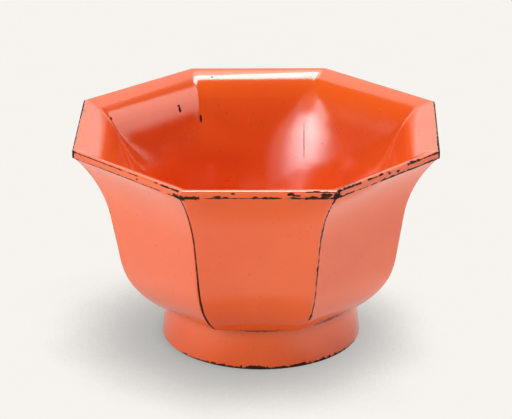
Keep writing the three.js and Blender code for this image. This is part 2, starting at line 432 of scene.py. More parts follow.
def lacquer_material(name, wear_and_shade, deep=VERMILION_DEEP):
    """wear_and_shade(tree, position) gives the mask of what is rubbed away, which on the
    outside and the foot holds painted shade too; deep is the tone of the places where the
    colour lies thicker, which in the bowl is darker, as painted shade."""
    material, tree, shader, position = start_material(name)
    polish = use_group(tree, hand_polish, {"Position": position})
    specks = ramp(tree, noise(tree, position, *SPECK_NOISE), *SPECK_FADE)
    # The mask of wear, which on the outside and the foot also holds painted shade, with the dark specks.
    worn_and_shaded = strongest(tree, wear_and_shade(tree, position), calc(tree, "MULTIPLY", specks, SPECK_WEAR))
    tone = blend_colour(tree, ramp(tree, polish["Tone"], *TONE_FADE), deep, VERMILION)
    rubbed = blend_colour(tree, ramp(tree, worn_and_shaded, *THIN_FADE), tone, GROUND_EDGE)
    colour = blend_colour(tree, ramp(tree, worn_and_shaded, *GROUND_FADE), rubbed, GROUND)
    dullness = calc(tree, "MULTIPLY_ADD", polish["Rubbing"], DULL_SWING, DULLNESS)
    tree.links.new(colour, shader.inputs["Base Color"])
    tree.links.new(dullness, shader.inputs["Roughness"])
    tree.links.new(ramp(tree, worn_and_shaded, *FILM_FADE), shader.inputs["Coat Weight"])
    shader.inputs["Specular IOR Level"].default_value = BODY_SHINE
    shader.inputs["Coat Roughness"].default_value = FILM_ROUGHNESS
    shader.inputs["Coat IOR"].default_value = FILM_IOR
    height = calc(tree, "MULTIPLY_ADD", worn_and_shaded, SINK, polish["Height"])
    normal = bump_surface(tree, shader, height, WAVE_STRENGTH, WAVE_HEIGHT)
    tree.links.new(normal, shader.inputs["Coat Normal"])
    return material


print("vermilion", VERMILION[:3], "over a ground of", GROUND[:3])

# %% [markdown]
# ## The surfaces in section
#
# Every coat is drawn as a section through the middle of a flat and then turned about
# the axis. The outside is a straight wall with an arc above it, the flare, and an
# arc below it that turns under to the foot. The inside follows the flare at the
# thickness of the wall. Below the flare its wall leans out more than the outside
# does, and ends in an arc that meets the floor. A crowned lip joins the two. The
# sections could be drawn as curves by hand. Arcs that are worked out from a few
# driving sizes stay smooth, and can be changed.

# %% Driving dimensions
COAT = 0.5 * MM
WALL = 4.6 * MM
RIM_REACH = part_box("rim_lacquer")[1][0]
CUP_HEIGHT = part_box("rim_lacquer")[1][2]
RIM_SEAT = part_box("rim_lacquer")[0][2]
FOOT_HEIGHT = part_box("outer_lacquer")[0][2]
FLOOR_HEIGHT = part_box("inner_lacquer")[0][2] + COAT
BAND_BOTTOM = CUP_HEIGHT - 2.4 * MM
BAND_PROJECTION = 0.25 * MM
SHOULDER_HEIGHT = CUP_HEIGHT - 7.3 * MM
FOOT_TOP = 28.1 * MM
# The places where the outside's wall and arcs begin and end, as reach and height.
MOUTH = Vector((RIM_REACH - BAND_PROJECTION, BAND_BOTTOM))
WAIST = Vector((41.2 * MM, 42 * MM))
BELLY = Vector((39.2 * MM, 29 * MM))
UNDERSIDE = Vector((28.4 * MM, FOOT_HEIGHT))
WALL_HEADING = (WAIST - BELLY).normalized()
print("rim", round(RIM_REACH, 4), "height", round(CUP_HEIGHT, 4), "seat", round(RIM_SEAT, 4))
print("wall leans out", round(math.degrees(math.atan2(WALL_HEADING.x, WALL_HEADING.y)), 1), "degrees")

# %% Arcs and parallel surfaces
ARC_STEPS = 28


def turn_about(place, centre, angle):
    away = place - centre
    cosine = math.cos(angle)
    sine = math.sin(angle)
    return centre + Vector((away.x * cosine - away.y * sine, away.x * sine + away.y * cosine))


def arc_from(start, heading, end):
    """The arc that leaves start along heading and ends at end."""
    chord = end - start
    side = Vector((-heading.y, heading.x))
    radius = chord.length_squared / (2 * chord.dot(side))
    centre = start + side * radius
    turn = 2 * math.atan2(chord.dot(side), chord.dot(heading))
    return [turn_about(start, centre, turn * step / ARC_STEPS) for step in range(ARC_STEPS + 1)]


def bezier(points, steps):
    """A smooth curve between the first and last of three points."""
    first, middle, last = points
    curve = []
    for step in range(steps + 1):
        share = step / steps
        curve.append(first * (1 - share) ** 2 + middle * (2 * share * (1 - share)) + last * share ** 2)
    return curve


def inset(surface, distance):
    """The surface moved to its left, into the wood."""
    moved = []
    for index, here in enumerate(surface):
        before = surface[max(index - 1, 0)]
        after = surface[min(index + 1, len(surface) - 1)]
        along = (after - before).normalized()
        moved.append(here + Vector((-along.y, along.x)) * distance)
    return moved


def below(surface, height):
    return [place for place in surface if place.y < height]


def reach_at(surface, height):
    for before, after in zip(surface, surface[1:]):
        if (before.y - height) * (after.y - height) <= 0 and before.y != after.y:
            return before.lerp(after, (height - before.y) / (after.y - before.y)).x
    raise ValueError("the surface doesn't pass that height")


flare_arc = arc_from(WAIST, WALL_HEADING, MOUTH)
print("flare from", [round(v, 4) for v in flare_arc[0]], "to", [round(v, 4) for v in flare_arc[-1]])

# %% The outside in section
# How far the underside runs in behind the top of the foot, and how far from its edge
# the underside begins to round.
TUCK = 1.6 * MM
UNDER_ROUND = 1.3 * MM
UNDER_STEPS = 6
WALL_STEPS = 12


def outside_section():
    belly_arc = arc_from(BELLY, -WALL_HEADING, UNDERSIDE)
    belly_arc.reverse()
    kept = [place for place in belly_arc if (place - UNDERSIDE).length > UNDER_ROUND]
    round_start = Vector((UNDERSIDE.x - UNDER_ROUND, FOOT_HEIGHT))
    tucked = Vector((FOOT_TOP - TUCK, FOOT_HEIGHT))
    turn_under = bezier((round_start, UNDERSIDE, kept[0]), UNDER_STEPS)
    wall = [BELLY.lerp(WAIST, step / WALL_STEPS) for step in range(1, WALL_STEPS)]
    return [tucked] + turn_under + kept[1:] + wall + flare_arc


outside = outside_section()
print("outside points", len(outside))

# %% The inside in section
# How far the bowl's wall leans out at each height, in millimetres and degrees.
WALL_LEANS = ((50.0, 21.0), (46.0, 21.0), (41.0, 20.8), (37.5, 20.5), (34.0, 20.7), (31.5, 21.0))
WALL_STEP = 0.75 * MM
LIP_TILT = math.radians(12)
LIP_STEPS = 40
# The rings of points on the floor, as shares of its radius.
FLOOR_RINGS = (0.75, 0.5, 0.25, 0)


def lean_at(height):
    """How far the bowl's wall leans out at a height, in radians."""
    stops = [(high * MM, math.radians(lean)) for high, lean in WALL_LEANS]
    for (high, first), (low, second) in zip(stops, stops[1:]):
        if height >= low:
            return first + (second - first) * min(max((high - height) / (high - low), 0.0), 1.0)
    return stops[-1][1]


def bowl_wall():
    """The flare of the inside, then the leaning wall, then an arc that ends in the floor."""
    flare = inset(flare_arc, WALL)
    flare.reverse()
    leans = [math.atan2(place.x - after.x, place.y - after.y) for place, after in zip(flare, flare[1:])]
    wall = [place for place, lean in zip(flare, leans) if lean > lean_at(place.y)]
    bend_height = WALL_LEANS[-1][0] * MM
    while wall[-1].y - WALL_STEP > bend_height:
        wall.append(wall[-1] - Vector((math.tan(lean_at(wall[-1].y)), 1)) * WALL_STEP)
    start = wall[-1]
    lean = lean_at(bend_height)
    radius = (start.y - FLOOR_HEIGHT) / (1 - math.sin(lean))
    centre = start + Vector((-math.cos(lean), math.sin(lean))) * radius
    sweep = lean - math.pi / 2
    bend = [turn_about(start, centre, sweep * step / ARC_STEPS) for step in range(1, ARC_STEPS + 1)]
    return wall + bend


def inside_section():
    """From the outer edge of the rim over the lip, down the wall and to the floor."""
    wall = bowl_wall()
    shoulder = Vector((reach_at(wall, SHOULDER_HEIGHT), SHOULDER_HEIGHT))
    lower = below(wall, SHOULDER_HEIGHT)
    slope = (lower[0] - shoulder).normalized()
    edge = Vector((RIM_REACH, CUP_HEIGHT))
    inward = Vector((-math.cos(LIP_TILT), -math.sin(LIP_TILT)))
    along = (shoulder - edge).cross(slope) / inward.cross(slope)
    lip = bezier((edge, edge + inward * along, shoulder), LIP_STEPS)
    return lip + lower + [Vector((wall[-1].x * share, FLOOR_HEIGHT)) for share in FLOOR_RINGS]


inside = inside_section()
print("inside points", len(inside))

# %% [markdown]
# ## Turning a section into eight flats
#
# A bowl like this could be modelled as an eight-sided turning with its edges
# bevelled. The inner corners fade into a round bowl lower down, and the arrises
# soften towards the foot, so one bevel doesn't suit. Here the section is spun into
# a round body with the spin operator, and its points are then drawn out to the
# flats. The columns of points crowd together at the arrises, where the surface
# bends most.

# %% Rounded flats
CROWDING = 0.84


def nearest_flat(turn):
    """The number of the nearest flat and the angle from its middle."""
    side = round(turn / (2 * HALF_SIDE))
    return side, turn - side * 2 * HALF_SIDE


def crowd(turn):
    """Draws the columns towards the arrises."""
    side, local = nearest_flat(turn)
    share = local / (2 * HALF_SIDE)
    crowded = share + CROWDING * math.sin(2 * math.pi * share) / (2 * math.pi)
    return (side + crowded) * 2 * HALF_SIDE


def flat_reach(apothem, local, rounding):
    """How far out a rounded octagon lies, at an angle from the middle of a flat."""
    corner_at = (apothem - rounding) * math.tan(HALF_SIDE)
    if abs(math.tan(local)) * apothem <= corner_at:
        return apothem / math.cos(local)
    centre = (apothem - rounding) / math.cos(HALF_SIDE)
    off = HALF_SIDE - abs(local)
    return centre * math.cos(off) + math.sqrt(max(rounding ** 2 - (centre * math.sin(off)) ** 2, 0.0))


print("a flat of 50 mm reaches", round(flat_reach(50 * MM, HALF_SIDE, 1 * MM), 4), "at its arris")

# %% Turning a section
COLUMNS = SIDES * 20
SHARP_ANGLE = math.radians(50)
# Points closer than this are one point, and a point this close to the axis is on it.
TOUCHING = 1e-7


def spin_round(section, closed):
    """The section turned about the axis, as a round body of points and faces."""
    shape = bmesh.new()
    start = [shape.verts.new((0, -place.x, place.y)) for place in section]
    for first, second in zip(start, start[1:]):
        shape.edges.new((first, second))
    if closed:
        shape.edges.new((start[-1], start[0]))
    bmesh.ops.spin(shape, geom=shape.verts[:] + shape.edges[:], cent=(0, 0, 0), axis=(0, 0, 1),
                   angle=2 * math.pi, steps=COLUMNS, use_merge=True)
    bmesh.ops.remove_doubles(shape, verts=shape.verts[:], dist=TOUCHING)
    return shape


def spin_section(name, section, closed, cornered, moved):
    """cornered(reach, height, turn) gives how octagonal the form is there, and the radius
    of its arrises. moved(place, turn, reach) puts a place where the maker's hand left it."""
    shape = spin_round(section, closed)
    for vert in shape.verts:
        reach = math.hypot(vert.co.x, vert.co.y)
        if reach < TOUCHING:
            continue
        turn = crowd(math.atan2(vert.co.x, -vert.co.y))
        share, rounding = cornered(reach, vert.co.z, turn)
        out = reach + share * (flat_reach(reach, nearest_flat(turn)[1], rounding) - reach)
        vert.co.x = out * math.sin(turn)
        vert.co.y = -out * math.cos(turn)
        vert.co = moved(vert.co, turn, reach)
    bmesh.ops.recalc_face_normals(shape, faces=shape.faces[:])
    mesh = bpy.data.meshes.new(name)
    shape.to_mesh(mesh)
    shape.free()
    mesh.polygons.foreach_set("use_smooth", [True] * len(mesh.polygons))
    mesh.set_sharp_from_angle(angle=SHARP_ANGLE)
    piece = bpy.data.objects.new(name, mesh)
    scene.collection.objects.link(piece)
    print(name, "faces", len(mesh.polygons))
    return piece


print("columns", COLUMNS, "of which", COLUMNS // SIDES, "to a flat")

# %% [markdown]
# ## The maker's hand
#
# The real cup was bent and scraped by hand, so its rim isn't a regular octagon, two
# of its arrises bow, and its bowl is turned a little against the outside. Points
# could be pulled about one by one. A few offsets, read off against the outline in
# the photograph, move whole coats instead, so that neighbouring coats still meet.

# %% The maker's hand
# How far each corner of the rim lies off a regular octagon, from the back one at the
# left round the front, in millimetres along X and Y.
CORNER_OFFSETS = ((0.5, -0.35), (-0.45, 0.4), (-0.9, 0.4), (0.3, -0.55),
                  (0.25, -0.25), (-0.25, 0.35), (0.8, -0.3), (-0.6, 0.1))
# The heights between which the rim's offsets come in.
OFFSET_RISE = (24 * MM, 60 * MM)
# How far the two front arrises bow to the left between the rim and the foot.
ARRIS_OFFSETS = ((0, 0), (0, 0), (0, 0), (-0.75, 0), (-0.65, 0), (0, 0), (0, 0), (0, 0))
# The heights between which the bow comes in, and goes again.
BOW_START = (14 * MM, 28 * MM)
BOW_END = (61 * MM, 50 * MM)
# The inner corners were scraped a little round from the outer ones, by this angle and
# from this far in from the edge of the rim.
INNER_TWIST = math.radians(1.0)
TWIST_START = (1.5 * MM, 5 * MM)


def smooth_step(value, low, high):
    share = min(max((value - low) / (high - low), 0.0), 1.0)
    return share * share * (3 - 2 * share)


def corner_offset(offsets, turn):
    """The offset at a turn, straight between those of the corners on its two sides."""
    side, local = nearest_flat(turn)
    along = 0.5 + 0.5 * math.tan(local) / math.tan(HALF_SIDE)
    first = Vector(offsets[(side + 3) % SIDES])
    offset = first.lerp(Vector(offsets[(side + 4) % SIDES]), along) * MM
    return Vector((offset.x, offset.y, 0))


def hand_made(place, turn, reach):
    """The rim was bent by hand, so its corners aren't quite even."""
    return place + corner_offset(CORNER_OFFSETS, turn) * smooth_step(place.z, *OFFSET_RISE)


def hand_made_outside(place, turn, reach):
    bow = smooth_step(place.z, *BOW_START) * smooth_step(place.z, *BOW_END)
    return hand_made(place, turn, reach) + corner_offset(ARRIS_OFFSETS, turn) * bow


def hand_made_inside(place, turn, reach):
    twist = INNER_TWIST * smooth_step(RIM_REACH - reach, *TWIST_START)
    return Matrix.Rotation(twist, 3, "Z") @ hand_made(place, turn, reach)


print("largest offset of a corner", max(abs(v) for offset in CORNER_OFFSETS for v in offset), "mm")

# %% [markdown]
# ## Finishing a piece
#
# The imported model has one body, the root, because nothing on the cup moves. Every
# finished piece gets its material, rides on the root and hides the imported nodes that
# it stands for. One function does all this, so no piece misses a part of it.

# %% Finishing a piece


def finish_piece(piece, material, slot, *nodes):
    piece.data.materials.append(material)
    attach(piece, "root")
    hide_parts(*nodes)
    return piece


print("helper: finish_piece")

# %% [markdown]
# ## The coat on the outside
#
# The outer coat runs from the foot up to the band of the rim. Its arrises are
# rubbed through to the ground in a thin dark line. On the arris at the left of the
# front flat the line is smooth and thickens where it turns under. On the right one
# it is a ragged crack, which ends where the stave meets the base. Noise alone could
# break the lines, but not in the places where the photograph shows them broken. So
# tables hold their half widths along the way, and noise makes only their sides rough.

# %% Where the rim is worn
# Half widths in millimetres of the worn lines along the rim, by the turn in degrees at
# which each begins: under the lip and at the foot of the band. Below the band the
# second is partly painted shade, where the band's edge shades the coat.
BAND_TOP_LINE = ((-180, 0.12), (-112, 0.16), (-68, 0.09), (-47.1, 0.0), (-43.9, 0.09), (-39.8, 0.0),
                 (-33.2, 0.12), (-31.9, 0.0), (-30.2, 0.16), (-23.8, 0.0), (14.0, 0.12), (22.3, 0.24),
                 (31.7, 0.0), (34.3, 0.16), (41.5, 0.0), (42.4, 0.14), (44.3, 0.0), (52.8, 0.24),
                 (57.8, 0.0), (58.8, 0.09), (68.0, 0.14), (112.0, 0.10), (180, 0.10))
BAND_FOOT_LINE = ((-180, 0.2), (-68, 0.14), (-64.7, 0.18), (-29.8, 0.0), (-27.8, 0.22), (-22.7, 0.45),
                  (-18.0, 0.20), (-16.9, 0.0), (-16.1, 0.18), (-12.8, 0.24), (-11.3, 0.17), (-2.3, 0.36),
                  (5.8, 0.0), (8.4, 0.12), (9.0, 0.30), (12.5, 0.16), (13.6, 0.44), (23.0, 0.45),
                  (25.6, 0.28), (28.4, 0.0), (29.6, 0.25), (33.9, 0.0), (35.7, 0.25), (36.6, 0.0),
                  (37.9, 0.25), (39.3, 0.0), (39.8, 0.36), (64.7, 0.28), (72.0, 0.2), (180, 0.2))
# The same on the outer edge of the lip, straight from turn to turn.
LIP_LINE = ((-180, 0.0), (-135, 0.0), (-113, 0.10), (-110, 0.19), (-97, 0.16), (-94, 0.08), (-81, 0.08),
            (-79, 0.15), (-73, 0.14), (-71, 0.10), (-60, 0.0), (-24, 0.0), (60, 0.0), (67, 0.20),
            (73, 0.28), (83, 0.24), (86, 0.10), (109, 0.12), (113, 0.24), (128, 0.10), (150, 0.0),
            (180, 0.0))
# How far the hand-made edge lies outside a regular octagon, in millimetres by turn.
EDGE_SHIFT = ((-180, 0.0), (-112.5, 0.45), (-67.5, 0.9), (-60, 0.2), (60, -0.1), (67.5, -0.25),
              (112.5, 0.8), (180, 0.0))
# The worn patches at the corners of the rim, as place, size and bite, in millimetres.
CORNER_CHIPS = (((-21.1, -50.3, 61.2), (1.7, 1.5, 1.1), 2.6), ((21.3, -50.6, 61.9), (1.0, 1.2, 1.4), 2.4),
                ((18.6, -51.2, 62.2), (1.5, 1.0, 0.55), 3.0), ((50.6, -20.7, 62.0), (0.7, 1.0, 1.5), 2.2),
                ((-51.3, -20.9, 62.0), (0.4, 0.7, 1.3), 2.4), ((50.9, 20.9, 62.6), (0.6, 0.8, 0.8), 2.0),
                ((-50.7, 21.2, 62.6), (0.5, 0.9, 0.8), 2.4))
print("stops", len(BAND_TOP_LINE), len(BAND_FOOT_LINE), len(LIP_LINE), "patches", len(CORNER_CHIPS))

# %% Drawing worn lines
DEGREE = math.radians(1)


def line_mask(tree, position, distance, half_width, ragged, kept):
    inputs = {"Position": position, "Distance": distance, "Half Width": half_width,
              "Ragged": ragged, "Kept": kept}
    return use_group(tree, wear_and_shade_line, inputs)["Mask"]


def width_over(tree, value, unit, stops, held=False):
    """Widths or shifts in millimetres over a value measured in units, such as degrees."""
    return amount_over(tree, value, [(place * unit, width * MM) for place, width in stops], held)


def near_turn(tree, turn, degrees):
    """1 where the turn is within half a side of an angle, and 0 elsewhere."""
    return calc(tree, "COMPARE", turn, math.radians(degrees), HALF_SIDE)


print("helpers: line_mask, width_over, near_turn")

# %% Wear and painted shade of the outer coat
CORNER_TURN = math.degrees(HALF_SIDE)
# Half widths of the worn lines on the front arrises by height, in millimetres.
LEFT_ARRIS = ((11, 0.22), (14, 0.32), (20, 0.28), (29, 0.23), (40, 0.16), (55, 0.16), (61, 0.26))
RIGHT_ARRIS = ((17.8, 0.0), (18.2, 0.26), (20, 0.30), (22, 0.14), (34.5, 0.14), (35.7, 0.30), (37, 0.14),
               (45.8, 0.15), (46.6, 0.34), (47.5, 0.14), (48.8, 0.36), (50, 0.15), (55.3, 0.16),
               (56.3, 0.38), (57.5, 0.15), (60, 0.22), (61, 0.28))
OTHER_ARRIS = 0.10 * MM
# Painted shade in the corner between the body and the foot: a dark line that isn't worn through.
JUNCTION_SHADE = 0.34
JUNCTION_SHADE_WIDTH = 0.40 * MM


def front_arris(tree, position, find, corner_turn, widths, ragged, kept):
    """The worn line on one front arris, and where that arris is the nearest one."""
    here = near_turn(tree, find["Turn"], corner_turn)
    width = width_over(tree, find["Height"], MM, widths)
    line = line_mask(tree, position, find["Distance"], width, ragged, kept)
    return calc(tree, "MULTIPLY", line, here), here


def junction_shade(tree, position, distance):
    """Painted shade within a small distance of the corner between the body and the foot."""
    shade_line = line_mask(tree, position, distance, JUNCTION_SHADE_WIDTH, ragged=1.0, kept=0.9)
    return calc(tree, "MULTIPLY", shade_line, JUNCTION_SHADE)


def outer_wear_and_shade(tree, position):
    find = use_group(tree, arris_finder, {"Position": position})
    left, on_left = front_arris(tree, position, find, -CORNER_TURN, LEFT_ARRIS, ragged=0.5, kept=1.0)
    right, on_right = front_arris(tree, position, find, CORNER_TURN, RIGHT_ARRIS, ragged=2.0, kept=0.93)
    other = line_mask(tree, position, find["Distance"], OTHER_ARRIS, ragged=1.5, kept=0.35)
    elsewhere = calc(tree, "SUBTRACT", 1.0, calc(tree, "ADD", on_left, on_right))
    # Below the band its worn line is partly painted shade under the band's edge.
    under_band = calc(tree, "SUBTRACT", BAND_BOTTOM, find["Height"])
    under_band_width = width_over(tree, find["Turn"], DEGREE, BAND_FOOT_LINE, held=True)
    under_band_wear_and_shade = line_mask(tree, position, under_band, under_band_width, ragged=1.2, kept=0.95)
    from_foot = calc(tree, "SUBTRACT", find["Height"], FOOT_HEIGHT)
    # The worn lines and chips, with the painted shade in the corner above the foot.
    lines = strongest(tree, left, right, calc(tree, "MULTIPLY", other, elsewhere), under_band_wear_and_shade,
                      junction_shade(tree, position, from_foot))
    return chips_at(tree, position, CORNER_CHIPS, lines)


outside_red = lacquer_material("red_lacquer_outside", outer_wear_and_shade)
print("material", outside_red.name, "nodes", len(outside_red.node_tree.nodes))

# %% The outer coat
ARRIS_RADIUS = 0.7 * MM
# The arrises soften by this much between this height and the foot.
ARRIS_SOFTENING = 5.0 * MM
SOFT_FROM = 24 * MM
# Within this height above the foot the coat turns from the octagon to the foot's round,
# between the inside of the foot's coat and a little outside it.
ROUND_HEIGHT = 0.9 * MM
ROUND_REACH = (FOOT_TOP - COAT, FOOT_TOP + 0.4 * MM)
BAND_GAP = 0.05 * MM
# The hidden back of the coat keeps every second point.
BACK_STRIDE = 2


def outer_corners(reach, height, turn):
    soft = smooth_step(height, SOFT_FROM, FOOT_HEIGHT)
    share = smooth_step(reach, *ROUND_REACH) if height < FOOT_HEIGHT + ROUND_HEIGHT else 1.0
    return share, ARRIS_RADIUS + ARRIS_SOFTENING * soft


def outer_coat():
    top = BAND_BOTTOM - BAND_GAP
    face = below(outside, top) + [Vector((reach_at(outside[-ARC_STEPS:], top), top))]
    back = inset(face, COAT)
    back[0] = Vector((face[0].x, FOOT_HEIGHT + COAT))
    back[-1] = Vector((back[-1].x, top))
    back.reverse()
    section = face + back[::BACK_STRIDE]
    return spin_section("outer_lacquer_coat", section, True, outer_corners, hand_made_outside)


outer = finish_piece(outer_coat(), outside_red, "red_lacquer", "outer_lacquer")

# %% [markdown]
# ## The coat in the bowl and the coat on the rim
#
# Both follow one section, and part at the seat of the rim strips. The corners of
# the octagon are crisp at the lip and fade to a round bowl, as they do where a
# carver scrapes a coopered cup smooth inside. A bevel has one radius from top to
# bottom, so here the radius of each corner is worked out from the height instead.
# The cloth behind the bowl's coat is laid again as well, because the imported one
# doesn't follow the rounder bowl and would show through it.

# %% Where the bowl and the rim are chipped
# Each chip is a place, a size and a bite, in millimetres. The last one is a hair crack.
BOWL_CHIPS = (((-24.0, 34.8, 57.0), (0.45, 0.5, 0.8), 2.2), ((-23.5, 34.2, 55.7), (0.40, 0.5, 0.9), 2.0),
              ((-17.4, 37.4, 51.3), (0.36, 0.7, 2.1), 0.8), ((13.62, 35.0, 46.0), (0.09, 7.0, 5.5), 1.6))
RIM_CHIPS = (((-10.8, -51.4, 61.7), (1.1, 0.7, 0.30), 2.2), ((-8.6, -51.4, 61.4), (0.8, 0.7, 0.42), 2.0),
             ((-6.5, -51.4, 62.6), (0.55, 0.7, 0.28), 1.8), ((8.9, -51.3, 62.4), (0.9, 0.7, 0.42), 2.2),
             ((10.4, -51.2, 62.0), (1.1, 0.7, 0.26), 2.2), ((-32.7, -39.2, 62.1), (0.35, 0.5, 0.25), 1.2),
             ((35.8, -35.8, 62.6), (0.5, 0.6, 0.4), 2.0), ((38.3, -33.4, 62.3), (0.6, 0.6, 0.35), 2.0),
             ((-43.1, 18.0, 58.9), (0.35, 0.35, 0.5), 1.5), ((45.5, -2.2, 61.3), (0.2, 0.3, 0.3), 1.0),
             ((46.1, -0.2, 61.7), (0.2, 0.2, 0.3), 1.0), ((-14.2, 46.1, 61.9), (0.3, 0.3, 0.3), 1.0))
print("chips in the bowl", len(BOWL_CHIPS), "and on the rim", len(RIM_CHIPS))

# %% Wear of the bowl and of the rim
# Painted shade: in the bowl the deep tone is darker than the outside's, for the shade inside the bowl.
BOWL_SHADED_DEEP = (0.83, 0.090, 0.008, 1.0)
# The worn lines of the rim lie on its outermost part, which begins between these
# reaches.
OUTER_FACE = (RIM_REACH - 1.3 * MM, RIM_REACH - 1.0 * MM)
# The worn line under the lip, the worn line on the lip's edge, and the heights between
# which the lip's line begins.
TOP_LINE_HEIGHT = CUP_HEIGHT - 0.55 * MM
LIP_EDGE = RIM_REACH - 0.30 * MM
ON_TOP = (CUP_HEIGHT - 0.9 * MM, CUP_HEIGHT - 0.5 * MM)


def bowl_wear(tree, position):
    return chips_at(tree, position, BOWL_CHIPS)


def rim_wear(tree, position):
    find = use_group(tree, arris_finder, {"Position": position})
    reach = calc(tree, "SUBTRACT", find["Reach"], width_over(tree, find["Turn"], DEGREE, EDGE_SHIFT))
    from_top = calc(tree, "ABSOLUTE", calc(tree, "SUBTRACT", TOP_LINE_HEIGHT, find["Height"]))
    top_width = width_over(tree, find["Turn"], DEGREE, BAND_TOP_LINE, held=True)
    top = line_mask(tree, position, from_top, top_width, ragged=1.6, kept=0.95)
    from_bottom = calc(tree, "SUBTRACT", find["Height"], BAND_BOTTOM)
    foot_width = width_over(tree, find["Turn"], DEGREE, BAND_FOOT_LINE, held=True)
    bottom = line_mask(tree, position, from_bottom, foot_width, ragged=1.5, kept=0.97)
    from_lip = calc(tree, "ABSOLUTE", calc(tree, "SUBTRACT", LIP_EDGE, reach))
    lip_width = width_over(tree, find["Turn"], DEGREE, LIP_LINE)
    lip = line_mask(tree, position, from_lip, lip_width, ragged=1.2, kept=0.95)
    lip = calc(tree, "MULTIPLY", lip, ramp(tree, find["Height"], *ON_TOP))
    lines = calc(tree, "MULTIPLY", strongest(tree, top, bottom, lip), ramp(tree, reach, *OUTER_FACE))
    return chips_at(tree, position, RIM_CHIPS + CORNER_CHIPS, lines)


bowl_red = lacquer_material("red_lacquer_bowl", bowl_wear, BOWL_SHADED_DEEP)
rim_red = lacquer_material("red_lacquer_rim", rim_wear)
for red in (bowl_red, rim_red):
    print("material", red.name, "nodes", len(red.node_tree.nodes))

# %% The coat in the bowl and the cloth behind it
INNER_CORNER = 2.5 * MM
# How each inner corner fades: shares of the fade, and the heights in millimetres between
# which they pass. The back one at the right was scraped rounder than the others.
PLAIN_FADE = ((1.0, 40, 56),)
ROUND_FADE = ((0.25, 40, 52), (0.75, 46, 62))
ROUND_CORNER = 7
CLOTH = 0.5 * MM
CLOTH_GAP = 0.25 * MM
# The hidden back of the bowl's coat keeps every third point.
BOWL_STRIDE = 3


def bowl_corners(reach, height, turn):
    corner = int((turn + math.pi) // (2 * HALF_SIDE)) % SIDES
    parts = ROUND_FADE if corner == ROUND_CORNER else PLAIN_FADE
    fade = sum(share * smooth_step(height, low * MM, high * MM) for share, low, high in parts)
    return 1.0, INNER_CORNER * fade + reach * (1 - fade)


def bowl_coat():
    top = Vector((reach_at(inside, RIM_SEAT), RIM_SEAT))
    face = [top] + below(inside, RIM_SEAT)
    back = inset(face, COAT)
    back[0] = Vector((back[0].x, RIM_SEAT))
    back[-1] = Vector((0, FLOOR_HEIGHT - COAT))
    back = back[::BOWL_STRIDE] + back[-1:]
    back.reverse()
    return spin_section("bowl_lacquer_coat", back + face, False, bowl_corners, hand_made_inside)


def cloth_side(depth):
    """One side of the cloth, at a depth behind the face of the bowl's coat."""
    side = below(inset(below(inside, RIM_SEAT), depth), RIM_SEAT - CLOTH_GAP)
    side[-1] = Vector((0, FLOOR_HEIGHT - depth))
    return side


def bowl_cloth():
    face = cloth_side(COAT + CLOTH_GAP)
    back = cloth_side(COAT + CLOTH_GAP + CLOTH)
    back.reverse()
    return spin_section("inner_cloth_layer", back + face, False, bowl_corners, hand_made_inside)


bowl = finish_piece(bowl_coat(), bowl_red, "red_lacquer", "inner_lacquer")

# %% The edge of the rim in section
# How far below the top the rim's side ends, and how far in and how far below the top
# its worn slope begins, with its length and tilt.
SIDE_DROP = 0.75 * MM
SLOPE_IN = 0.16 * MM
SLOPE_DROP = 0.42 * MM
SLOPE_ROUND = 0.08 * MM
SLOPE_LENGTH = 0.5 * MM
EDGE_TILT = math.radians(27)
# From the slope's head the edge goes over a crest to the lip, this far in.
CREST = Vector((-0.12 * MM, 0.03 * MM))
LIP_START = 1.3 * MM
ROUND_STEPS = 5
CREST_STEPS = 6


def rim_edge():
    """The outer edge of the rim, from the band up over a narrow worn slope to the lip."""
    side = Vector((RIM_REACH, CUP_HEIGHT - SIDE_DROP))
    slope_foot = Vector((RIM_REACH - SLOPE_IN, CUP_HEIGHT - SLOPE_DROP))
    slope_head = slope_foot + Vector((-math.cos(EDGE_TILT), math.sin(EDGE_TILT))) * SLOPE_LENGTH
    lip_start = next(place for place in inside if RIM_REACH - place.x > LIP_START)
    corner = Vector((RIM_REACH, slope_foot.y - SLOPE_ROUND))
    return (bezier((side, corner, slope_foot), ROUND_STEPS)
            + bezier((slope_head, slope_head + CREST, lip_start), CREST_STEPS))


edge = rim_edge()
print("edge points", len(edge))

# %% The coat on the rim
OUTER_CORNER = 0.9 * MM
# The corners change from the bowl's radius to the outer one over this much reach.
CORNER_CHANGE = 2 * MM
# How far up the band its side has a point, and how far below the top the back begins.
BAND_POINT = 0.5 * MM
BACK_DROP = 1.3 * MM


def rim_corners(reach, height, turn):
    outermost = smooth_step(reach, RIM_REACH - CORNER_CHANGE, RIM_REACH)
    inner = bowl_corners(reach, height, turn)[1]
    return 1.0, inner + (OUTER_CORNER - inner) * outermost


def rim_coat():
    band = [Vector((RIM_REACH, BAND_BOTTOM)), Vector((RIM_REACH, BAND_BOTTOM + BAND_POINT))]
    lip = [place for place in inside if place.x < edge[-1].x and place.y > RIM_SEAT]
    face = band + edge + lip + [Vector((reach_at(inside, RIM_SEAT), RIM_SEAT))]
    back = [Vector((RIM_REACH - COAT, BAND_BOTTOM)), Vector((RIM_REACH - COAT, CUP_HEIGHT - BACK_DROP))]
    back += inset(face, COAT)[len(band + edge):-1]
    back.append(Vector((face[-1].x + COAT, RIM_SEAT)))
    back.reverse()
    return spin_section("rim_lacquer_coat", face + back, True, rim_corners, hand_made_inside)


rim = finish_piece(rim_coat(), rim_red, "red_lacquer", "rim_lacquer")

# %% [markdown]
# ## The foot
#
# The foot is a turned ring that widens a little towards the table. Its red coat
# stops at the standing edge, which is worn to the ground all the way round. The
# packed ring could be shown as it is, but its edges are faceted, so both the ring
# and its coat are spun again from a section.

